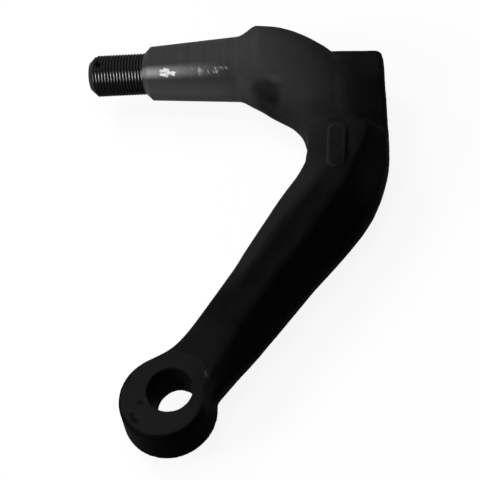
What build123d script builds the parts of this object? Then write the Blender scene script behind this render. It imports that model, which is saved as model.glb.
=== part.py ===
from build123d import *
from math import cos, radians, sin, tan
import os

# Steering arm: a one-piece forging with a tapered shank at one end and a ball-stud eye at the other.
# All sizes are in millimetres. The origin lies on the shank's axis at the small end of its taper.
# +X runs along the shank towards the head, +Z is parallel to the eye's bore, Z = 0 is the parting plane.

# Threaded end of the shank
thread_diameter = 20.0
thread_length = 27.2
thread_end_diameter = 14.0
thread_end_chamfer = 3.2
split_pin_diameter = 3.6
split_pin_from_end = 5.2

# Tapered seat and the turned flare behind it
shoulder_diameter = 26.0
shoulder_chamfer = 3.2
seat_taper = 1 / 8
seat_length = 41.0
flare_end = 55.8
flare_land = 1.4
flare_diameter = 40.8
flare_angle = 31.0
flare_blend = 9.0

# Eye: its body sits off the bore's centre and narrows from the lower face to the upper one, while the
# bore widens
eye_x = 30.0
eye_y = -174.0
eye_radius = 20.1
eye_set_back = 3.8
eye_side_step = 1.0
eye_thickness = 20.0
eye_edge = 1.8
bore_diameter = 19.3
bore_taper = 1 / 10
spot_face_radius = 17.2

# Forging: walls lean in from the parting plane
draft = 5.0
head_half_thickness = 20.0
land_half_height = 6.0

# The bar starts inside the flare, turns round the crook's centre and runs straight to the eye
arm_angle = 32.7
crook_x = 55.0
crook_y = -68.0

# Sections fanned round the crook: angle, inner and outer reach from its centre, half thickness,
# edge radius, and how far the ridge stands back from the outer reach (none where the section is rounded)
bend_stations = [
    (90, 47.8, 87.7, 19.7, 18.3, 0),
    (82, 43.9, 86.2, 20.2, 18.0, 0),
    (70, 40.9, 81.7, 20.2, 17.0, 0),
    (54, 37.1, 76.2, 20.0, 14.5, 9.5),
    (36, 31.1, 69.3, 20.0, 12.5, 10.0),
    (18, 28.0, 65.7, 20.0, 11.0, 8.5),
    (0, 24.1, 61.3, 20.0, 10.5, 12.2),
    (-16, 22.0, 58.6, 20.0, 10.5, 12.6),
]

# Sections of the straight run: distance from the bore, inner and outer reach from its line,
# half thickness, edge radius, and how far the ridge stands back
run_stations = [
    (100, 15.1, 20.5, 19.8, 10.5, 11.2),
    (82, 14.1, 19.1, 18.2, 10.0, 9.8),
    (60, 12.5, 17.9, 16.2, 9.5, 9.3),
    (38, 11.8, 16.9, 13.8, 8.0, 8.0),
    (20, 12.3, 15.4, 11.2, 6.0, 6.0),
    (6, 18.5, 14.8, 10.2, 5.5, 4.5),
]

# Machining-centre lug: a thin plate in the outer corner
lug_top = 4.1
lug_end = 114.6
lug_foot_x = 117.8
lug_foot_y = -50.0
lug_root_x = 75.0
lug_root_y = -10.0
lug_top_start_x = 88.0
lug_top_start_y = 5.2
lug_foot_start_x = 97.0
lug_corner = 3.0
lug_edge = 1.5

# Pockets above and below the lug: the dome's end and the arm's shoulder stand over them
pocket_start_x = 102.0
pocket_dome_x = 105.0
pocket_dome_y = -15.0
pocket_corner_x = 103.5
pocket_corner_y = -40.5
pocket_shoulder_y = -44.5
pocket_floor = 5.5
pocket_draft = 25.0
pocket_blend = 4.0
pocket_margin = 8.0

# Raised forging pad
pad_x = 96.0
pad_y = -61.5
pad_length = 24.4
pad_width = 8.8
pad_height = 0.7

thread_radius = thread_diameter / 2
seat_start_radius = shoulder_diameter / 2
seat_end = shoulder_chamfer + seat_length
seat_end_radius = seat_start_radius + seat_length * seat_taper / 2
blend_turn = radians(flare_angle)
blend_end = seat_end + flare_blend * sin(blend_turn)
blend_end_radius = seat_end_radius + flare_blend * (1 - cos(blend_turn))
bore_far_diameter = bore_diameter - eye_thickness * bore_taper

out_direction = Vector(cos(radians(arm_angle)), -sin(radians(arm_angle)), 0)
run_direction = Vector(-sin(radians(arm_angle)), -cos(radians(arm_angle)), 0)
crook = Vector(crook_x, crook_y, 0)
bore_centre = Vector(eye_x, eye_y, 0)
eye_centre = bore_centre + run_direction * eye_set_back - out_direction * eye_side_step

# Each section: plane, inner and outer edge, half thickness, edge radius, set-back of the ridge
sections = []
for angle, inner, outer, half_thickness, edge, bevel in bend_stations:
    fan = radians(angle)
    plane = Plane(crook, x_dir=(cos(fan), sin(fan), 0), z_dir=(sin(fan), -cos(fan), 0))
    sections.append((plane, inner, outer, half_thickness, edge, bevel))
for distance, inner, outer, half_thickness, edge, bevel in run_stations:
    plane = Plane(bore_centre - run_direction * distance, x_dir=out_direction, z_dir=run_direction)
    sections.append((plane, -inner, outer, half_thickness, edge, bevel))

with BuildPart() as lug:
    with BuildSketch():
        with BuildLine():
            Polyline(
                (lug_root_x, lug_root_y),
                (lug_foot_start_x, lug_foot_y),
                (lug_foot_x, lug_foot_y),
                (lug_end, lug_top),
                (lug_top_start_x, lug_top_start_y),
                close=True,
            )
        make_face()
        fillet(vertices().sort_by(Axis.Y)[-2], lug_corner)
    extrude(amount=land_half_height, both=True, taper=draft)
    chamfer(faces().filter_by(Axis.Z).edges(), lug_edge)

pocket_out_x = lug_foot_x + pocket_margin
pocket_out_y = lug_top_start_y + pocket_margin
with BuildPart() as pocket:
    with BuildSketch(Plane.XY.offset(pocket_floor)):
        with BuildLine():
            Polyline(
                (pocket_corner_x, pocket_corner_y),
                (pocket_out_x, pocket_shoulder_y),
                (pocket_out_x, pocket_out_y),
                (pocket_start_x, pocket_out_y),
                (pocket_dome_x, pocket_dome_y),
                close=True,
            )
        make_face()
        fillet(vertices().sort_by(Axis.X)[1:3], pocket_blend)
    extrude(amount=head_half_thickness, taper=-pocket_draft)
    mirror(about=Plane.XY)

eye_half = eye_thickness / 2
eye_upper_radius = eye_radius - (eye_thickness - 2 * eye_edge) * tan(radians(draft))
with BuildPart() as eye:
    # Half of its section, turned about the body's own centre
    with BuildSketch(Plane(eye_centre, x_dir=(1, 0, 0), z_dir=(0, -1, 0))):
        Polygon(
            (0, -eye_half),
            (eye_radius - eye_edge, -eye_half),
            (eye_radius, -eye_half + eye_edge),
            (eye_upper_radius, eye_half - eye_edge),
            (eye_upper_radius - eye_edge, eye_half),
            (0, eye_half),
            align=None,
        )
    revolve(axis=Axis(eye_centre, (0, 0, 1)))

with BuildPart() as arm:
    # Head and arm: one bar of drafted sections lofted round the crook; past the dome, a bevel on its
    # outer side runs from the ridge down to a land beside the parting line
    for plane, inner, outer, half_thickness, edge, bevel in sections:
        lean = half_thickness * tan(radians(draft))
        land_edge = outer - land_half_height * tan(radians(draft))
        if bevel:
            outer_side = [
                (outer - bevel, half_thickness),
                (land_edge, land_half_height),
                (outer, 0),
                (land_edge, -land_half_height),
                (outer - bevel, -half_thickness),
            ]
            rounded = slice(0, 1)
        else:
            outer_side = [(outer - lean, half_thickness), (outer, 0), (outer - lean, -half_thickness)]
            rounded = slice(0, 2)
        with BuildSketch(plane):
            with BuildLine():
                Polyline(
                    (inner, 0),
                    (inner + lean, half_thickness),
                    *outer_side,
                    (inner + lean, -half_thickness),
                    close=True,
                )
            make_face()
            fillet(vertices().group_by(Axis.Y)[0].sort_by(Axis.X)[rounded], edge)
            fillet(vertices().group_by(Axis.Y)[-1].sort_by(Axis.X)[rounded], edge)
    loft()
    add(pocket.part, mode=Mode.SUBTRACT)

    # Threaded end, tapered seat and flare, turned about the shank's axis
    with BuildSketch(Plane.XZ):
        with BuildLine():
            outline = Polyline(
                (flare_end - flare_land, flare_diameter / 2),
                (flare_end, flare_diameter / 2),
                (flare_end, 0),
                (-thread_length, 0),
                (-thread_length, thread_end_diameter / 2),
                (-thread_length + thread_end_chamfer, thread_radius),
                (0, thread_radius),
                (shoulder_chamfer, seat_start_radius),
                (seat_end, seat_end_radius),
            )
            blend = TangentArc(
                (seat_end, seat_end_radius), (blend_end, blend_end_radius), tangent=(1, seat_taper / 2)
            )
            Line(blend @ 1, outline @ 0)
        make_face()
    revolve(axis=Axis.X)

    # Machining-centre lug
    add(lug.part)

    # Eye, overlapping the end of the arm
    add(eye.part)

    # Spot faces, above and below, where the arm stands higher than the eye
    with BuildSketch(
        Plane(bore_centre + Vector(0, 0, eye_thickness / 2)),
        Plane(bore_centre - Vector(0, 0, eye_thickness / 2), z_dir=(0, 0, -1)),
    ):
        Circle(spot_face_radius)
    extrude(amount=eye_thickness / 2, mode=Mode.SUBTRACT)

    # Tapered bore for the ball stud
    with Locations(bore_centre):
        Cone(bore_far_diameter / 2, bore_diameter / 2, eye_thickness, mode=Mode.SUBTRACT)

    # Split-pin hole across the thread
    with Locations((-thread_length + split_pin_from_end, 0, 0)):
        Cylinder(split_pin_diameter / 2, shoulder_diameter, mode=Mode.SUBTRACT)

    # Raised forging pad
    with BuildSketch(Plane.XY.offset(head_half_thickness / 2)):
        with Locations((pad_x, pad_y)):
            SlotOverall(pad_length, pad_width, rotation=90)
    extrude(amount=head_half_thickness / 2 + pad_height)

arm.part.label = "steering_arm"
os.makedirs("parts", exist_ok=True)
export_step(arm.part, "parts/steering_arm.step")
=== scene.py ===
import math

import bmesh
import bpy
import numpy as np
from mathutils import Matrix, Vector


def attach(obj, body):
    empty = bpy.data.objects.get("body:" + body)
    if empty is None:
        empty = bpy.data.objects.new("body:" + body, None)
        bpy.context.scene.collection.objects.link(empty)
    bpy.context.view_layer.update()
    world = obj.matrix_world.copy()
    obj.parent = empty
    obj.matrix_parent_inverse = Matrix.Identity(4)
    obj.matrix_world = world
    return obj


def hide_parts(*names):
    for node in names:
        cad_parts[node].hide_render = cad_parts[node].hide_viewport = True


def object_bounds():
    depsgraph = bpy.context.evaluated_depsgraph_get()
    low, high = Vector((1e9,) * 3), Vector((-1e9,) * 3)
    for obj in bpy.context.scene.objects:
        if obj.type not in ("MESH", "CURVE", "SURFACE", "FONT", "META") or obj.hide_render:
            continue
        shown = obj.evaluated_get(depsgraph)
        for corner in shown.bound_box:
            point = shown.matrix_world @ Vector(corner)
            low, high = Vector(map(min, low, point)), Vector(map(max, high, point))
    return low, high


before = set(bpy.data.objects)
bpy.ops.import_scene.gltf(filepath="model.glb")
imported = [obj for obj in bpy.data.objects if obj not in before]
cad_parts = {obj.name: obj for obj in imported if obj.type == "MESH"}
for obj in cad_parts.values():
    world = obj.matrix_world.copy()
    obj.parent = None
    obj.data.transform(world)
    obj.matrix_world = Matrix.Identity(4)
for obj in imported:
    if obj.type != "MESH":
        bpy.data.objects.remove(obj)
cad_low, cad_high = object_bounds()
MM = 0.001
NODE = "steering_arm"

# Sizes are in millimetres and turns in radians, unless a comment says otherwise

# Turned end: sizes along and about the shank's axis
THREAD_RADIUS = 10.0
THREAD_PITCH = 1.5
THREAD_DEPTH = 0.92
THREAD_END_X = -27.2
THREAD_END_RADIUS = 7.0
THREAD_CHAMFER = 3.2
# How far the thread runs into the shoulder
THREAD_OVERLAP = 0.6
# One pitch of its profile: place along the pitch, share of the thread's depth
THREAD_STEPS = [
    (0.0, 0.10), (0.03, 0.0), (0.10, 0.0), (0.13, 0.10),
    (0.43, 0.93), (0.47, 1.0), (0.66, 1.0), (0.70, 0.93),
]
SPLIT_PIN_X = -22.0
SPLIT_PIN_RADIUS = 1.8
SHOULDER_X = 3.2
SHOULDER_RADIUS = 13.0
SEAT_END_X = 44.2
SEAT_TAPER = 1 / 16
SEAT_END_RADIUS = SHOULDER_RADIUS + (SEAT_END_X - SHOULDER_X) * SEAT_TAPER
FLARE_BLEND = 9.0
FLARE_ANGLE = math.radians(31)
FLARE_X = 54.4
# Here the seat's own mesh takes over from the forged body
JOIN_X = 47.0
# Segments round the axis, and steps along the seat and its blend into the flare
TURNED_SEGMENTS = 256
THREAD_SEGMENTS = 144
PIN_SEGMENTS = 48
SEAT_ROWS = 40
BLEND_ROWS = 5

# Eye and arm
BORE = (30.0, -174.0)
BORE_UPPER_RADIUS = 9.65
BORE_LOWER_RADIUS = 8.65
BORE_CHAMFER = 0.35
EYE_HALF = 10.0
SPOT_RADIUS = 17.2
SPOT_DEPTH = 0.04
ARM_ANGLE = math.radians(32.7)
RUN = np.array((-math.sin(ARM_ANGLE), -math.cos(ARM_ANGLE)))
RUN_TURN = math.radians(90) - ARM_ANGLE

# Raised forging pad on the arm's root: centre, overall length and width
PAD = (96.0, -61.5)
PAD_LENGTH = 24.4
PAD_WIDTH = 8.8
# Its rim: how far each ring is set in from the outline, and its height
PAD_STEPS = [
    (0.7, 19.2), (0.25, 19.9), (0.0, 20.15), (-0.3, 20.5),
    (-0.7, 20.64), (-1.2, 20.6), (-2.0, 20.32), (-3.2, 20.25),
]
PAD_BOTTOM = 18.0

# Forged body: the voxel it is remeshed with, rounds of smoothing, the share of each round, and
# what smoothing takes off, put back along its normals
VOXEL = 0.9
SKIN_ROUNDS = 7
BLEND_ROUNDS = 150
RELAX_SHARE = 0.5
SHRINKAGE = 0.1
# The body keeps this far inside the solid's box
BOX_MARGIN = 0.02
# Unevenness of the skin: height, size and seed of each noise
GRAINS = [(0.16, 11.0, 3), (0.08, 4.2, 5), (0.03, 1.9, 7)]
# Trimmed flash along the parting line: half its height, its fade, its rise and how uneven it is
FLASH_HALF = 0.9
FLASH_FADE = 1.2
FLASH_RISE = 0.12
FLASH_UNEVEN = 0.08
# Edges sharper than these angles stay crisp, in degrees
BODY_EDGE = 38
TURNED_EDGE = 24
PAD_EDGE = 50

# Dishes in the arm's faces: centre, half sizes along, across and through, depth, share of painted
# shade
DISHES = [
    ((75.5, -106.0, 18.0), (18.0, 7.5, 7.0), 1.6, 0.5),
    ((64.5, -122.5, 16.0), (11.0, 6.0, 7.0), 1.4, 0.45),
]
# Hollows of the head: centre, half sizes, turn, depth, share of painted shade
HOLLOWS = [
    ((87.0, -40.0, 19.5), (15.0, 5.5, 6.0), -0.1, 1.2, 0.3),
    ((96.5, -47.5, 20.0), (6.0, 2.2, 4.0), -0.1, 0.7, 0.3),
    ((60.8, -24.5, 8.0), (11.5, 9.5, 11.5), 0.0, 1.7, 0.35),
    ((62.7, -26.0, 5.4), (4.6, 4.0, 4.8), 0.0, 1.2, 0.5),
    ((101.6, -60.5, 20.0), (2.6, 13.0, 5.0), 0.0, 0.5, 0.45),
    ((96.0, -75.0, 20.0), (6.0, 2.2, 5.0), 0.15, 0.4, 0.4),
]
# Presses and rises that get no painted shade: centre, half sizes, turn, depth. They are the ridge
# above the hollow by the flare, the crook's inner wall, which is ground further out below and
# stands fuller above, and the slight hollow that the pad stands in
PRESSES = [
    ((67.0, -20.5, 16.0), (7.0, 2.6, 4.0), -0.4, -0.7),
    ((80.5, -51.0, 4.0), (9.0, 13.0, 13.0), 0.0, 0.7),
    ((83.0, -58.5, 11.0), (6.0, 7.0, 9.0), 0.0, -0.6),
    ((*PAD, 20.0), (8.5, 17.0, 7.0), 0.0, 0.6),
]
# Nicks in the eye's face: centre, half sizes, turn
NICKS = [
    ((18.6, -179.5, 10.0), (2.6, 1.7, 3.0), 0.6),
    ((16.9, -187.5, 10.0), (3.0, 1.7, 3.0), -0.5),
    ((15.4, -184.6, 10.0), (1.8, 2.3, 3.0), 0.2),
]
NICK_DEPTH = 0.6

# Patches of another tone: centre, half sizes, turn, colour, share. Those marked below are painted
# shade and painted light
PATCHES = [
    ((48.0, -172.0, 10.0), (14.0, 18.0, 8.0), 0.0, 0.006, 0.75),
    # Painted shade in the hollow beside the flare
    ((59.8, -24.5, 4.0), (11.5, 9.5, 15.0), 0.0, 0.006, 0.5),
    # Painted highlight on the ridge above that hollow
    ((66.7, -20.6, 16.2), (6.0, 2.4, 3.2), -0.4, 0.05, 0.3),
    ((56.3, 0.0, 18.0), (2.4, 14.0, 9.0), 0.0, 0.05, 0.4),
    ((111.0, -68.0, 9.0), (12.0, 22.0, 12.0), 0.0, 0.011, 0.6),
    ((38.5, -153.0, 12.0), (20.0, 17.0, 9.0), 0.0, 0.009, 0.6),
    # Painted glint on the edge of the eye's ring
    ((44.5, -167.2, 10.0), (0.9, 2.2, 1.0), 0.3, 0.05, 0.4),
    # Painted glints beside the nicks, on this line and the next
    ((20.0, -178.5, 10.0), (1.5, 1.2, 1.0), 0.0, 0.02, 0.6),
    ((15.0, -183.6, 10.0), (1.6, 1.3, 1.0), 0.0, 0.018, 0.6),
    ((46.0, -174.5, 8.0), (6.0, 8.0, 5.0), 0.0, 0.012, 0.7),
    # Painted shade on the eye's front wall, below
    ((32.0, -194.0, -4.0), (20.0, 14.0, 13.0), 0.0, 0.0008, 0.8),
    ((46.5, -178.5, 7.0), (4.0, 7.0, 4.0), 0.0, 0.03, 0.7),
    # Painted light on the dome's end, where it runs down to the lug
    ((100.0, -27.0, 15.0), (8.0, 20.0, 9.5), 0.0, 0.027, 0.85),
    ((108.0, -6.0, 6.0), (10.0, 12.0, 6.0), 0.0, 0.009, 0.6),
    # Painted light on the front underside of the head by the flare
    ((49.0, -17.0, 0.0), (9.0, 9.0, 14.0), 0.0, 0.065, 0.75),
    # Painted shade on the arm's top, right of the pad
    ((102.0, -72.0, 19.5), (6.0, 12.0, 6.0), 0.0, 0.004, 0.6),
    ((100.0, -87.0, 3.0), (8.0, 9.0, 4.0), 0.4, 0.012, 0.5),
]

# Tones of the forged skin, from the painted shade on the arm to the painted light on the head
# Painted shade on the arm's outer bevel
BEVEL_SHADE = 0.0015
# Painted shade on the lug
LUG_SHADE = 0.002
SCALE_DARK = 0.0032
SCALE_LIGHT = 0.005
SCALE_WORN = 0.0065
# Painted shade in the dishes, hollows and nicks
DISH_SHADE = 0.003
NICK_SHADE = 0.004
HOLLOW_SHADE = 0.006
SPECK_DIRT = 0.003
EYE_RING = 0.0112
# Painted light on the arm's inner edge
INNER_EDGE_LIGHT = 0.0128
# Painted highlight on the pad's rim
PAD_RIM_LIGHT = 0.022
# Painted light on the head towards the flare
HEAD_LIGHT = 0.0375
# Tones of the turned steel
SEAT_GREY = 0.038
THREAD_GREY = 0.0105
# Painted highlight: the bright metal of the strips
HIGHLIGHT_METAL = 0.55
# How little the skin and the turned steel mirror, and how rough the steel's film is
SKIN_SPECULAR = 0.0015
STEEL_SPECULAR = 0.015
FILM_ROUGHNESS = 0.55
# Directions that the painted highlight strips of the thread and the seat face, towards where the
# key lamp's highlight falls
THREAD_SHINE = (0.0, -0.683, 0.730)
SEAT_SHINE = (0.0, -0.606, 0.796)

# Stage: the floor in millimetres, lamps and camera in metres
FLOOR_Z = -20.5
FLOOR_HALF = 4000.0
FLOOR_BOUNCE = 0.1
FLOOR_GLOW = 0.9
WORLD_BOUNCE = 0.03
SUBJECT = (0.05, -0.09, 0)
# Lamps: name, place, target, size, power
LAMPS = [
    ("key", (-0.28, -0.85, 0.9), (0.04, -0.06, 0), 0.12, 1.3),
    ("left_front", (-0.7, -0.5, 0.6), SUBJECT, 0.3, 5.6),
    ("left_back", (-0.45, 0.5, 0.85), SUBJECT, 0.4, 5.2),
    ("top", (0.05, -0.09, 1.1), SUBJECT, 0.5, 4.2),
]
CAMERA_PLACE = (0.1502, -0.4068, 0.4930)
CAMERA_RIGHT = Vector((0.9858, 0.0645, -0.1548))
CAMERA_UP = Vector((0.0274, 0.8486, 0.5283))
CAMERA_BACK = Vector((0.1655, -0.5250, 0.8348))
CAMERA_LENS = 100.3
CAMERA_SENSOR = 36.0


# Meshes


def new_object(name, vertices, faces, material):
    """A mesh object from millimetre points."""
    mesh = bpy.data.meshes.new(name)
    mesh.from_pydata([tuple(c * MM for c in p) for p in vertices], [], faces)
    mesh.validate()
    mesh.materials.append(material)
    piece = bpy.data.objects.new(name, mesh)
    bpy.context.scene.collection.objects.link(piece)
    return piece


def face_outward(piece):
    bm = bmesh.new()
    bm.from_mesh(piece.data)
    bmesh.ops.recalc_face_normals(bm, faces=bm.faces)
    bm.to_mesh(piece.data)
    bm.free()


def shade(piece, angle):
    """Smooth shading, with edges sharper than an angle kept crisp."""
    bm = bmesh.new()
    bm.from_mesh(piece.data)
    bmesh.ops.recalc_face_normals(bm, faces=bm.faces)
    limit = math.radians(angle)
    for face in bm.faces:
        face.smooth = True
    for edge in bm.edges:
        edge.smooth = len(edge.link_faces) == 2 and edge.calc_face_angle(0) < limit
    bm.to_mesh(piece.data)
    bm.free()


def lathe(name, profile, material, segments, axis="X"):
    """A closed turned mesh from (along, radius) points that start and end on the axis."""
    vertices, rings = [], []
    for along, radius in profile:
        ring = []
        count = segments if radius else 1
        for k in range(count):
            turn = 2 * math.pi * k / segments
            side, up = radius * math.cos(turn), radius * math.sin(turn)
            ring.append(len(vertices))
            vertices.append((along, side, up) if axis == "X" else (side, up, along))
        rings.append(ring)
    faces = []
    for a, b in zip(rings, rings[1:]):
        for k in range(segments):
            n = (k + 1) % segments
            if len(a) == 1 and len(b) == 1:
                continue
            if len(a) == 1:
                faces.append((a[0], b[k], b[n]))
            elif len(b) == 1:
                faces.append((a[k], b[0], a[n]))
            else:
                faces.append((a[k], b[k], b[n], a[n]))
    return new_object(name, vertices, faces, material)


def cut(piece, tool):
    """Cuts a closed tool from a closed piece and deletes the tool."""
    modifier = piece.modifiers.new("cut", "BOOLEAN")
    modifier.operation = "DIFFERENCE"
    modifier.solver = "MANIFOLD"
    modifier.object = tool
    apply_modifiers(piece)
    bpy.data.objects.remove(tool)


def apply_modifiers(piece):
    bpy.context.view_layer.update()
    depsgraph = bpy.context.evaluated_depsgraph_get()
    mesh = bpy.data.meshes.new_from_object(piece.evaluated_get(depsgraph))
    piece.modifiers.clear()
    piece.data = mesh


# Materials


class Tree:
    """A short way to write a node tree."""

    def __init__(self, tree):
        self.tree = tree

    def make(self, kind, **values):
        node = self.tree.nodes.new(kind)
        for key, value in values.items():
            if key.startswith("in_"):
                node.inputs[key[3:].replace("_", " ")].default_value = value
            else:
                setattr(node, key, value)
        return node

    def link(self, a, b):
        self.tree.links.new(a, b)

    def maths(self, operation, a, b):
        node = self.make("ShaderNodeMath", operation=operation)
        for socket, value in zip(node.inputs, (a, b)):
            if isinstance(value, (int, float)):
                socket.default_value = value
            else:
                self.link(value, socket)
        return node.outputs[0]

    def product(self, a, b):
        return self.maths("MULTIPLY", a, b)

    def larger(self, a, b):
        return self.maths("MAXIMUM", a, b)

    def seen(self):
        """1 for rays from the camera, and for reflected and transmitted ones."""
        path = self.make("ShaderNodeLightPath")
        rays = self.larger(path.outputs["Is Camera Ray"], path.outputs["Is Glossy Ray"])
        return self.larger(rays, path.outputs["Is Transmission Ray"])


class Nodes(Tree):
    """The node tree of a new material."""

    def __init__(self, name):
        self.material = bpy.data.materials.new(name)
        self.material.use_nodes = True
        super().__init__(self.material.node_tree)
        self.shader = self.tree.nodes["Principled BSDF"]
        self.place = self.make("ShaderNodeTexCoord").outputs["Object"]

    def along(self, axis, vector=None):
        """The place along one axis, in metres."""
        node = self.make("ShaderNodeSeparateXYZ")
        self.link(vector or self.place, node.inputs[0])
        return node.outputs[axis]

    def mapping(self, location=(0, 0, 0), turn=0.0, scale=(1, 1, 1), kind="TEXTURE"):
        """The place, moved in millimetres, turned about Z and scaled."""
        node = self.make("ShaderNodeMapping", vector_type=kind)
        node.inputs["Location"].default_value = [c * MM for c in location]
        node.inputs["Rotation"].default_value = (0.0, 0.0, turn)
        node.inputs["Scale"].default_value = scale
        self.link(self.place, node.inputs["Vector"])
        return node.outputs[0]

    def length(self, vector):
        node = self.make("ShaderNodeVectorMath", operation="LENGTH")
        self.link(vector, node.inputs[0])
        return node.outputs["Value"]

    def oval(self, centre, radii, turn=0.0):
        """1 in the middle of an oval region, falling to 0 at its rim."""
        ball = self.make("ShaderNodeTexGradient", gradient_type="SPHERICAL")
        self.link(self.mapping(centre, turn, [r * MM for r in radii]), ball.inputs[0])
        return self.ramp(ball.outputs["Fac"], 0.0, 0.6)

    def noise(self, scale, detail, roughness=0.55, vector=None, distortion=0.0):
        """Noise whose scale is in millimetres per feature."""
        node = self.make("ShaderNodeTexNoise", in_Scale=1000.0 / scale, in_Detail=detail)
        node.inputs["Roughness"].default_value = roughness
        node.inputs["Distortion"].default_value = distortion
        self.link(vector or self.place, node.inputs["Vector"])
        return node.outputs["Fac"]

    def ramp(self, value, low, high, start=0.0, end=1.0):
        """Maps low..high to start..end."""
        node = self.make("ShaderNodeMapRange", clamp=True)
        node.inputs["From Min"].default_value = low
        node.inputs["From Max"].default_value = high
        node.inputs["To Min"].default_value = start
        node.inputs["To Max"].default_value = end
        self.link(value, node.inputs["Value"])
        return node.outputs["Result"]

    def fade(self, value, low, high, start=0.0, end=1.0):
        """The same for a place, with its limits in millimetres."""
        return self.ramp(value, low * MM, high * MM, start, end)

    def mix(self, factor, a, b):
        node = self.make("ShaderNodeMix", data_type="RGBA")
        self.link(factor, node.inputs[0])
        for socket, value in ((node.inputs[6], a), (node.inputs[7], b)):
            if isinstance(value, tuple):
                socket.default_value = value
            else:
                self.link(value, socket)
        return node.outputs[2]

    def tint(self, base, mask, share, value, warmth=0.0):
        """Takes a share of the base towards a grey where the mask is 1."""
        return self.mix(self.product(mask, share), base, grey(value, warmth))

    def bump(self, height, distance, normal=None):
        """A bump whose distance is in millimetres."""
        node = self.make("ShaderNodeBump", in_Strength=1.0, in_Distance=distance * MM)
        self.link(height, node.inputs["Height"])
        if normal:
            self.link(normal, node.inputs["Normal"])
        return node.outputs["Normal"]


def grey(value, warmth=0.0):
    return (value * (1 + warmth), value, value * (1 - warmth), 1.0)


def eye_rings(n, y, height):
    """1 on the eye's machined rings: level with its faces, and not the arm or forged wall."""
    ring = n.product(n.fade(height, 9.3, 9.8), n.fade(height, 10.35, 10.1))
    reach = n.length(n.mapping((*BORE, 0.0), scale=(1.0, 1.0, 1000.0)))
    beside_arm = n.larger(n.fade(reach, 18.6, 17.4), n.fade(y, -168, -173))
    return n.product(n.fade(reach, 25, 23.5), n.product(ring, beside_arm))


def forged_skin():
    """Dull oiled scale, nearly black on the arm, with painted light that greys the head towards the
    turned flare.
    """
    n = Nodes("forged_skin")
    x, y, z = n.along("X"), n.along("Y"), n.along("Z")
    height = n.maths("ABSOLUTE", z, 0.0)
    # How far a place lies across the arm's line, towards its outer side
    across = n.along("X", n.mapping((*BORE, 0.0), -ARM_ANGLE))

    blotch = n.ramp(n.noise(22, 3.0, 0.6), 0.35, 0.68)
    patch = n.ramp(n.noise(6, 5.0, 0.65, distortion=0.6), 0.38, 0.66)
    speck = n.ramp(n.noise(0.9, 6.0, 0.7), 0.5, 0.75)
    base = n.mix(blotch, grey(SCALE_DARK), grey(SCALE_LIGHT))
    base = n.tint(base, patch, 0.5, SCALE_WORN, 0.02)
    # Painted light: lighter along the arm's inner edge, which faces the lamps on the left
    edge_light = n.product(n.fade(across, -0.5, -5), n.fade(z, 3, 10))
    edge_light = n.product(edge_light, n.product(n.fade(y, -133, -117), n.fade(y, -62, -78)))
    base = n.tint(base, edge_light, 1.0, INNER_EDGE_LIGHT, 0.01)
    # Painted shade: darker on the arm's outer bevel, which faces away from the lamps
    bevel_shade = n.product(n.fade(across, 5, 11), n.fade(height, 5.0, 7.5))
    base = n.tint(base, n.product(bevel_shade, n.fade(y, -72, -90)), 0.7, BEVEL_SHADE)
    base = n.tint(base, eye_rings(n, y, height), 1.0, EYE_RING)
    # Painted light: the head is lighter towards the turned flare, where the light from the left
    # falls
    head = n.maths("POWER", n.product(n.fade(x, 112, 52), n.fade(y, -88, -30)), 1.1)
    base = n.tint(base, head, 1.0, HEAD_LIGHT)
    # Painted shade: the lug, below the dome, is darkened
    lug = n.product(n.fade(x, 96, 103), n.fade(height, 9, 5.5))
    base = n.tint(base, lug, 0.25, LUG_SHADE)
    # Painted highlight on the pad's rim, most on its left where the light falls, and painted shade
    # in the dishes, hollows and nicks
    rim = n.product(n.fade(z, 20.35, 20.6), n.fade(x, 97, 92.5, 0.15, 0.8))
    base = n.tint(base, rim, 1.0, PAD_RIM_LIGHT, 0.01)
    for side in (1, -1):
        for centre, radii, _, shade_share in DISHES:
            dish = n.oval((*centre[:2], side * centre[2]), radii, RUN_TURN)
            base = n.tint(base, dish, shade_share, DISH_SHADE)
    for centre, radii, turn, _, shade_share in HOLLOWS:
        base = n.tint(base, n.oval(centre, radii, turn), shade_share, HOLLOW_SHADE)
    for centre, radii, turn in NICKS:
        base = n.tint(base, n.oval(centre, radii, turn), 0.2, NICK_SHADE)
    # Patches of another tone, among them painted shade and painted light
    for centre, radii, turn, colour, share in PATCHES:
        base = n.tint(base, n.oval(centre, radii, turn), share, colour)
    base = n.tint(base, speck, 0.35, SPECK_DIRT)
    n.link(base, n.shader.inputs["Base Color"])

    rough = n.ramp(blotch, 0.0, 1.0, 0.5, 0.6)
    rough = n.maths("ADD", rough, n.ramp(patch, 0.0, 1.0, -0.04, 0.05))
    n.link(rough, n.shader.inputs["Roughness"])
    n.shader.inputs["Specular IOR Level"].default_value = SKIN_SPECULAR
    scale_pits = n.make("ShaderNodeTexVoronoi", in_Scale=1000.0 / 2.6)
    n.link(n.place, scale_pits.inputs["Vector"])
    pits = n.ramp(scale_pits.outputs["Distance"], 0.0, 0.35)
    normal = n.bump(n.noise(3.4, 5.0, 0.6), 0.16)
    normal = n.bump(pits, 0.03, normal)
    normal = n.bump(n.noise(0.55, 3.0, 0.6), 0.03, normal)
    n.link(normal, n.shader.inputs["Normal"])
    return n.material


def about_shank(n):
    """The place without its share along the shank's axis, and the radius."""
    flat = n.mapping(scale=(0.0, 1.0, 1.0), kind="POINT")
    return flat, n.length(flat)


def shine_strip(n, direction):
    """1 along the strip of the shank that faces a direction: the line where the key lamp's
    highlight falls, for a painted highlight.
    """
    flat, radius = about_shank(n)
    facing = n.make("ShaderNodeVectorMath", operation="DOT_PRODUCT")
    n.link(flat, facing.inputs[0])
    facing.inputs[1].default_value = direction
    turn = n.maths("DIVIDE", facing.outputs["Value"], radius)
    return n.maths("POWER", n.ramp(turn, 0.955, 1.0), 2.0)


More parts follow.
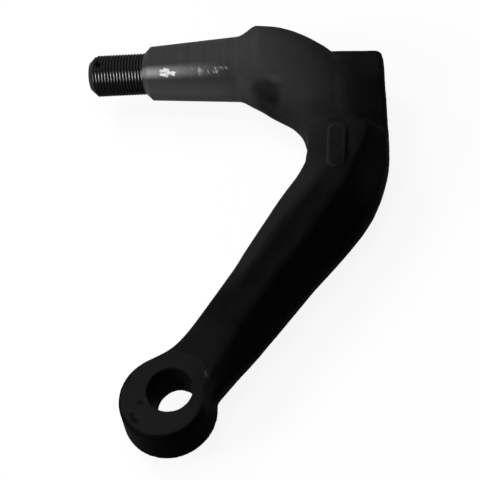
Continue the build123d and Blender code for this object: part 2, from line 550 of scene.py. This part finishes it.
def turned_steel(name, base, shine_rough, highlight_mask):
    """Turned steel dulled by a grey film, with bright metal painted in along the key lamp's
    highlight.
    """
    n = Nodes(name)
    x = n.along("X")
    rings = n.mapping(scale=(1.0, 0.02, 0.02), kind="POINT")
    marks = n.noise(0.35, 4.0, 0.7, rings)
    bands = n.noise(2.2, 3.0, 0.6, rings)
    film = n.ramp(n.noise(9, 4.0, 0.6, distortion=0.8), 0.36, 0.68)
    colour = n.mix(n.ramp(bands, 0.35, 0.65), grey(base * 0.93), grey(base * 1.1))
    colour = n.tint(colour, film, 0.4, base * 0.8, 0.02)
    # Painted reflection: the film is paler low on the front side, where the floor would reflect
    low = n.product(n.fade(n.along("Z"), 9, 1), n.fade(x, 0.0, 2))
    low = n.product(low, n.fade(n.along("Y"), -4, -9))
    low = n.product(low, n.fade(x, 47, 34, 0.55, 1.0))
    colour = n.tint(colour, low, 1.0, base * 2.6)
    # Painted light: the thread's grooves are paler, lifting their shade
    groove = n.product(n.fade(about_shank(n)[1], 9.8, 9.2), n.fade(x, 1, 0.5))
    colour = n.tint(colour, groove, 1.0, base * 2.3)
    # Painted highlight: bright metal along the key lamp's highlight
    shine = highlight_mask(n)
    n.link(n.mix(shine, colour, grey(HIGHLIGHT_METAL)), n.shader.inputs["Base Color"])
    n.link(shine, n.shader.inputs["Metallic"])
    spread = n.ramp(marks, 0.3, 0.7, -0.05, 0.06)
    rough = n.maths("ADD", spread, n.ramp(shine, 0.0, 1.0, FILM_ROUGHNESS, shine_rough))
    n.link(rough, n.shader.inputs["Roughness"])
    n.shader.inputs["Specular IOR Level"].default_value = STEEL_SPECULAR
    normal = n.bump(marks, 0.01)
    normal = n.bump(n.noise(4, 3.0, 0.5), 0.03, normal)
    n.link(normal, n.shader.inputs["Normal"])
    return n.material


def seat_flecks(n):
    """A painted highlight along the key lamp's line: a bright strip that fades from the shoulder
    on, with bright spots and slanting flecks.
    """
    edge = n.ramp(n.noise(1.6, 4.0), 0.35, 0.65, -0.5, 0.35)
    spot = n.larger(
        n.oval((12.4, -8.5, 10.9), (4.6, 3.0, 4.5)), n.oval((16.0, -9.1, 10.8), (3.0, 1.8, 3.0))
    )
    spot = n.ramp(n.maths("ADD", spot, edge), 0.4, 0.8, 0.0, 0.72)
    slant = n.mapping(turn=0.5, scale=(1.0, 6.0, 6.0))
    flecks = n.ramp(n.noise(0.8, 2.0, 0.5, slant), 0.5, 0.6)
    zone = n.maths("ADD", n.oval((32.5, -9.4, 12.1), (14.0, 3.0, 5.0)), edge)
    flecks = n.product(flecks, n.ramp(zone, 0.36, 0.8, 0.0, 0.36))
    strip = n.product(shine_strip(n, SEAT_SHINE), n.fade(n.along("X"), 40, 2, 0.0, 0.38))
    return n.larger(n.larger(spot, flecks), strip)


def thread_crests(n):
    """The crests, given bright metal most on the upper front side, where the key lamp's highlight
    falls: a painted highlight.
    """
    crest = n.fade(about_shank(n)[1], 9.6, 9.9)
    return n.product(crest, n.ramp(shine_strip(n, THREAD_SHINE), 0.0, 0.7, 0.02, 1.0))


skin_material = forged_skin()
seat_material = turned_steel("turned_seat", SEAT_GREY, 0.4, seat_flecks)
thread_material = turned_steel("thread_steel", THREAD_GREY, 0.3, thread_crests)


# Forged body


def smoothstep(x):
    x = np.clip(x, 0, 1)
    return x * x * (3 - 2 * x)


def press(points, normals, centre, radii, turn, depth):
    """Presses an oval hollow into the surface, or raises it where the depth is negative."""
    relative = points - np.array(centre)
    cos, sin = math.cos(turn), math.sin(turn)
    along = (relative[:, 0] * cos + relative[:, 1] * sin) / radii[0]
    across = (relative[:, 1] * cos - relative[:, 0] * sin) / radii[1]
    distance = np.sqrt(along ** 2 + across ** 2 + (relative[:, 2] / radii[2]) ** 2)
    points -= normals * (depth * smoothstep(1.5 * (1 - distance)))[:, None]


def lattice_noise(points, size, seed):
    """Smooth random values between -1 and 1 on a lattice of the given size."""
    count, offset = 64, 200.0
    random = np.random.default_rng(seed)
    table = random.uniform(-1, 1, (count, count, count))
    place = points / size + offset
    cell = np.floor(place).astype(int)
    t = place - cell
    t = t * t * (3 - 2 * t)
    value = np.zeros(len(points))
    for corner in range(8):
        step = np.array((corner & 1, corner >> 1 & 1, corner >> 2 & 1))
        weight = np.prod(np.where(step == 1, t, 1 - t), axis=1)
        index = (cell + step) % count
        value += weight * table[index[:, 0], index[:, 1], index[:, 2]]
    return value


def vertex_normals(points, quads):
    """Area-weighted vertex normals of a quad mesh."""
    a, b, c, d = (points[quads[:, k]] for k in range(4))
    cross = np.cross(c - a, d - b)
    normals = np.zeros_like(points)
    for k in range(4):
        np.add.at(normals, quads[:, k], cross)
    return normals / np.maximum(np.linalg.norm(normals, axis=1, keepdims=True), 1e-12)


def relax(points, edges, rounds, mask):
    """Moves each point towards the mean of its neighbours."""
    count = np.zeros(len(points))
    for k in (0, 1):
        np.add.at(count, edges[:, k], 1)
    for _ in range(rounds):
        total = np.zeros_like(points)
        np.add.at(total, edges[:, 0], points[edges[:, 1]])
        np.add.at(total, edges[:, 1], points[edges[:, 0]])
        points = points + RELAX_SHARE * (total / count[:, None] - points) * mask[:, None]
    return points


def reach_from_bore(points):
    return np.hypot(points[:, 0] - BORE[0], points[:, 1] - BORE[1])


def remeshed_solid(name):
    """A copy of the solid's mesh, rebuilt from even quads."""
    body = bpy.data.objects.new(name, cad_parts[NODE].data.copy())
    bpy.context.scene.collection.objects.link(body)
    remesh = body.modifiers.new("remesh", "REMESH")
    remesh.mode = "VOXEL"
    remesh.voxel_size = VOXEL * MM
    apply_modifiers(body)
    body.data.materials.clear()
    body.data.materials.append(skin_material)
    return body


def soften(points, edges):
    """Evens out the voxels, least round the eye, and blends the dome and the flare's lower rim."""
    mask = 0.55 + 0.45 * smoothstep((reach_from_bore(points) - 22) / 6)
    points = relax(points, edges, SKIN_ROUNDS, mask)
    # The dome's end runs down to the lug in a wide blend
    x, y = points[:, 0], points[:, 1]
    soft = smoothstep((x - 82) / 12) * smoothstep((113 - x) / 4)
    soft *= smoothstep((y + 46) / 8) * smoothstep((1 - y) / 6)
    rim = 0.6 * smoothstep(1 - np.abs(x - FLARE_X - 0.5) / 5) * (y > -30)
    soft = np.maximum(soft, rim * smoothstep((13 - y) / 7))
    return relax(points, edges, BLEND_ROUNDS, soft)


def press_forms(points, normals):
    """What hammer and grinder leave: dishes in the arm's faces, hollows and rises of the head."""
    for side in (1, -1):
        for centre, radii, depth, _ in DISHES:
            press(points, normals, (*centre[:2], side * centre[2]), radii, RUN_TURN, depth)
    for centre, radii, turn, depth, _ in HOLLOWS:
        press(points, normals, centre, radii, turn, depth)
    for centre, radii, turn, depth in PRESSES:
        press(points, normals, centre, radii, turn, depth)


def roughen(points, normals, reach):
    """Unevenness of the forged skin, kept off the machined eye and the turned flare."""
    rough = sum(height * lattice_noise(points, size, seed) for height, size, seed in GRAINS)
    # Parting line: a low trimmed flash
    from_line = np.abs(points[:, 2] + 0.25 * lattice_noise(points, 6.0, 11))
    flash = 1 - smoothstep((from_line - FLASH_HALF) / FLASH_FADE)
    rough += flash * (FLASH_RISE + FLASH_UNEVEN * lattice_noise(points, 1.7, 13))
    forged = 0.3 + 0.7 * smoothstep((reach - 18) / 6)
    forged *= smoothstep((points[:, 0] - FLARE_X) / 5 + (points[:, 1] < -60))
    points += normals * (rough * forged + SHRINKAGE)[:, None]


def true_flare(points):
    """The turned flare keeps the shape of the seat's own end."""
    x, across = points[:, 0], np.hypot(points[:, 1], points[:, 2])
    bend = np.clip((x - SEAT_END_X) / FLARE_BLEND, 0, math.sin(FLARE_ANGLE))
    turned = SEAT_END_RADIUS + FLARE_BLEND * (1 - np.sqrt(1 - bend ** 2))
    past_blend = np.maximum(x - SEAT_END_X - FLARE_BLEND * math.sin(FLARE_ANGLE), 0)
    turned += past_blend * math.tan(FLARE_ANGLE)
    weight = smoothstep((53 - x) / 3) * smoothstep((1.6 - np.abs(across - turned)) / 0.6)
    points[:, 1:] *= (1 + weight * (turned / np.maximum(across, 1) - 1))[:, None]


def face_eye(points, reach):
    """Machined rings round the bore, with nicks; the arm's faces run out almost level with them."""
    towards_arm = -((points[:, :2] - np.array(BORE)) @ RUN)
    rise = 0.25 + 0.22 * np.maximum(reach - SPOT_RADIUS, 0)
    rise *= smoothstep((towards_arm - 6) / 6) * (reach > SPOT_RADIUS)
    limit = EYE_HALF - SPOT_DEPTH + rise
    near = reach < 30
    points[near, 2] = np.clip(points[near, 2], -limit[near], limit[near])
    for centre, radii, turn in NICKS:
        press(points, np.array((0.0, 0.0, 1.0)), centre, radii, turn, NICK_DEPTH)


def cut_bore(body):
    """The tapered bore, with a small chamfer at each end."""
    slope = (BORE_UPPER_RADIUS - BORE_LOWER_RADIUS) / (2 * EYE_HALF)
    middle = (BORE_UPPER_RADIUS + BORE_LOWER_RADIUS) / 2
    lower, upper = BORE_LOWER_RADIUS + BORE_CHAMFER, BORE_UPPER_RADIUS + BORE_CHAMFER
    tool_end, chamfer_z = EYE_HALF + 4, EYE_HALF - BORE_CHAMFER
    profile = [(-tool_end, 0), (-tool_end, lower), (-EYE_HALF, lower)]
    profile += [(-chamfer_z, middle - slope * chamfer_z), (chamfer_z, middle + slope * chamfer_z)]
    profile += [(EYE_HALF, upper), (tool_end, upper), (tool_end, 0)]
    tool = lathe("tool", profile, skin_material, TURNED_SEGMENTS, "Z")
    tool.data.transform(Matrix.Translation(Vector((*BORE, 0)) * MM))
    face_outward(tool)
    cut(body, tool)


def cut_turned_end(body):
    """Makes room for the seat's own mesh."""
    length, width = 95.0 * MM, 50.0 * MM
    bpy.ops.mesh.primitive_cube_add(size=1)
    tool = bpy.context.object
    tool.data.transform(Matrix.Diagonal((length, width, width, 1)))
    tool.data.transform(Matrix.Translation((JOIN_X * MM - length / 2, 0, 0)))
    cut(body, tool)


def make_body():
    body = remeshed_solid("forged_body")
    mesh = body.data
    points = np.zeros(len(mesh.vertices) * 3)
    mesh.vertices.foreach_get("co", points)
    points = points.reshape(-1, 3) / MM
    edges = np.zeros(len(mesh.edges) * 2, int)
    mesh.edges.foreach_get("vertices", edges)
    edges = edges.reshape(-1, 2)
    quads = np.array([tuple(p.vertices) for p in mesh.polygons if len(p.vertices) == 4])

    points = soften(points, edges)
    press_forms(points, vertex_normals(points, quads))
    reach = reach_from_bore(points)
    roughen(points, vertex_normals(points, quads), reach)
    true_flare(points)
    face_eye(points, reach)
    low = np.array(cad_low) / MM + BOX_MARGIN
    high = np.array(cad_high) / MM - BOX_MARGIN
    points = np.clip(points, low, high)
    mesh.vertices.foreach_set("co", (points * MM).ravel())
    mesh.update()

    cut_bore(body)
    cut_turned_end(body)
    shade(body, BODY_EDGE)
    return body


# Turned pieces and the pad


def make_seat():
    """Shoulder, seat and flare, turned in one piece; its end is sunk into the forged body."""
    profile = [(0.0, 0.0), (0.0, 9.7), (0.25, THREAD_RADIUS + 0.1)]
    # The edge between shoulder and seat is broken
    for dx, dr in ((-0.2, -0.28), (-0.05, -0.08), (0.12, 0.01)):
        profile.append((SHOULDER_X + dx, SHOULDER_RADIUS + dr))
    for k in range(1, SEAT_ROWS + 1):
        x = SHOULDER_X + (SEAT_END_X - SHOULDER_X) * k / SEAT_ROWS
        profile.append((x, SHOULDER_RADIUS + (x - SHOULDER_X) * SEAT_TAPER))
    for k in range(1, BLEND_ROWS + 1):
        turn = math.asin((JOIN_X + 0.5 - SEAT_END_X) / FLARE_BLEND) * k / BLEND_ROWS
        radius = SEAT_END_RADIUS + FLARE_BLEND * (1 - math.cos(turn))
        profile.append((SEAT_END_X + FLARE_BLEND * math.sin(turn), radius))
    profile.append((JOIN_X + 1.2, profile[-1][1] - 0.4))
    profile += [(JOIN_X + 3, SEAT_END_RADIUS - 2), (JOIN_X + 3, 0.0)]
    seat = lathe("turned_seat", profile, seat_material, TURNED_SEGMENTS)
    shade(seat, TURNED_EDGE)
    return seat


def make_pad():
    """A stadium-shaped pad with a raised rim: rings of one outline, each set in further."""
    arc = 24
    straight = (PAD_LENGTH - PAD_WIDTH) / 2
    vertices, faces = [], []
    for inset, z in PAD_STEPS:
        radius = PAD_WIDTH / 2 + inset
        for end in (1, -1):
            for k in range(arc + 1):
                turn = math.pi * k / arc
                x, y = end * radius * math.cos(turn), end * (straight + radius * math.sin(turn))
                vertices.append((PAD[0] + x, PAD[1] + y, z))
    ring = 2 * (arc + 1)
    rows = len(PAD_STEPS)
    for row in range(rows - 1):
        for k in range(ring):
            a, b = row * ring + k, row * ring + (k + 1) % ring
            faces.append((a, b, b + ring, a + ring))
    vertices += [(x, y, PAD_BOTTOM) for x, y, _ in vertices[:ring]]
    under = rows * ring
    faces += [(k, under + k, under + (k + 1) % ring, (k + 1) % ring) for k in range(ring)]
    faces.append(tuple(range((rows - 1) * ring, rows * ring)))
    faces.append(tuple(range(under + ring - 1, under - 1, -1)))
    pad = new_object("forging_pad", vertices, faces, skin_material)
    shade(pad, PAD_EDGE)
    return pad


def make_thread():
    """A real helical thread: rows run along the helix, and each turn joins the next."""
    per_turn = len(THREAD_STEPS)
    columns = THREAD_SEGMENTS
    start, end = THREAD_END_X + 0.01, THREAD_OVERLAP
    # The thread is made too long at both ends and then cut off square
    turns = int((end - start) / THREAD_PITCH) + 4
    rows = turns * per_turn
    end_slope = (THREAD_RADIUS - THREAD_END_RADIUS) / THREAD_CHAMFER
    vertices, faces = [], []
    for j in range(columns):
        turn = 2 * math.pi * j / columns
        for i in range(rows):
            whole, part = divmod(i, per_turn)
            phase, depth = THREAD_STEPS[part]
            x = start + (whole - 1.5 + phase + j / columns) * THREAD_PITCH
            radius = THREAD_RADIUS - THREAD_DEPTH * depth
            radius = min(radius, THREAD_END_RADIUS + max(x - start, 0) * end_slope)
            vertices.append((x, radius * math.cos(turn), radius * math.sin(turn)))
    for j in range(columns):
        n, shift = (j + 1, 0) if j < columns - 1 else (0, per_turn)
        for i in range(rows - 1 - shift):
            a, b = j * rows + i, n * rows + i + shift
            faces.append((a, a + 1, b + 1, b))
    thread = new_object("stud_thread", vertices, faces, thread_material)

    bm = bmesh.new()
    bm.from_mesh(thread.data)
    for x, outwards in ((start, -1), (end, 1)):
        bmesh.ops.bisect_plane(
            bm, geom=bm.verts[:] + bm.edges[:] + bm.faces[:], dist=0.002 * MM, clear_outer=True,
            plane_co=(x * MM, 0, 0), plane_no=(outwards, 0, 0),
        )
    bmesh.ops.holes_fill(bm, edges=[e for e in bm.edges if e.is_boundary], sides=0)
    bmesh.ops.recalc_face_normals(bm, faces=bm.faces)
    bm.to_mesh(thread.data)
    bm.free()

    reach = THREAD_RADIUS + 4
    hole = [(-reach, 0), (-reach, SPLIT_PIN_RADIUS), (reach, SPLIT_PIN_RADIUS), (reach, 0)]
    tool = lathe("tool", hole, thread_material, PIN_SEGMENTS, "Z")
    tool.data.transform(Matrix.Translation((SPLIT_PIN_X * MM, 0, 0)))
    face_outward(tool)
    cut(thread, tool)
    shade(thread, TURNED_EDGE)
    return thread


body = make_body()
seat = make_seat()
pad = make_pad()
thread = make_thread()
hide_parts(NODE)
for piece in (body, seat, pad, thread):
    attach(piece, "root")


# Stage: floor, world, lamps and camera


def white_paper():
    """White to the camera and in reflections, with the object's shadow, and little bounce."""
    n = Nodes("paper")
    n.tree.nodes.remove(n.shader)
    seen = n.seen()
    diffuse = n.make("ShaderNodeBsdfDiffuse")
    n.link(n.mix(seen, grey(FLOOR_BOUNCE), grey(1.0)), diffuse.inputs["Color"])
    glow = n.make("ShaderNodeEmission", in_Strength=1.0)
    blend = n.make("ShaderNodeMixShader")
    n.link(n.product(seen, FLOOR_GLOW), blend.inputs[0])
    n.link(diffuse.outputs[0], blend.inputs[1])
    n.link(glow.outputs[0], blend.inputs[2])
    n.link(blend.outputs[0], n.tree.nodes["Material Output"].inputs["Surface"])
    return n.material


square = ((-1, -1), (1, -1), (1, 1), (-1, 1))
corners = [(x * FLOOR_HALF, y * FLOOR_HALF, FLOOR_Z) for x, y in square]
floor = new_object("floor", corners, [(0, 1, 2, 3)], white_paper())

world = bpy.data.worlds.new("studio")
bpy.context.scene.world = world
world.use_nodes = True
background = world.node_tree.nodes["Background"]
background.inputs["Color"].default_value = grey(1.0)
sky = Tree(world.node_tree)
sky.link(sky.larger(sky.seen(), WORLD_BOUNCE), background.inputs["Strength"])

for name, place, target, size, power in LAMPS:
    data = bpy.data.lights.new(name, "AREA")
    data.energy = power
    data.size = size
    lamp = bpy.data.objects.new(name, data)
    lamp.location = place
    aim = Vector(target) - Vector(place)
    lamp.rotation_euler = aim.to_track_quat("-Z", "Y").to_euler()
    bpy.context.scene.collection.objects.link(lamp)

camera_data = bpy.data.cameras.new("camera")
camera_data.sensor_width = CAMERA_SENSOR
camera_data.lens = CAMERA_LENS
camera_data.clip_start = 0.01
camera = bpy.data.objects.new("camera", camera_data)
bpy.context.scene.collection.objects.link(camera)
camera.rotation_mode = "QUATERNION"
axes = Matrix((CAMERA_RIGHT, CAMERA_UP, CAMERA_BACK)).transposed()
camera.rotation_quaternion = axes.to_quaternion()
camera.location = CAMERA_PLACE
bpy.context.scene.camera = camera

bpy.context.scene.view_settings.view_transform = "Standard"
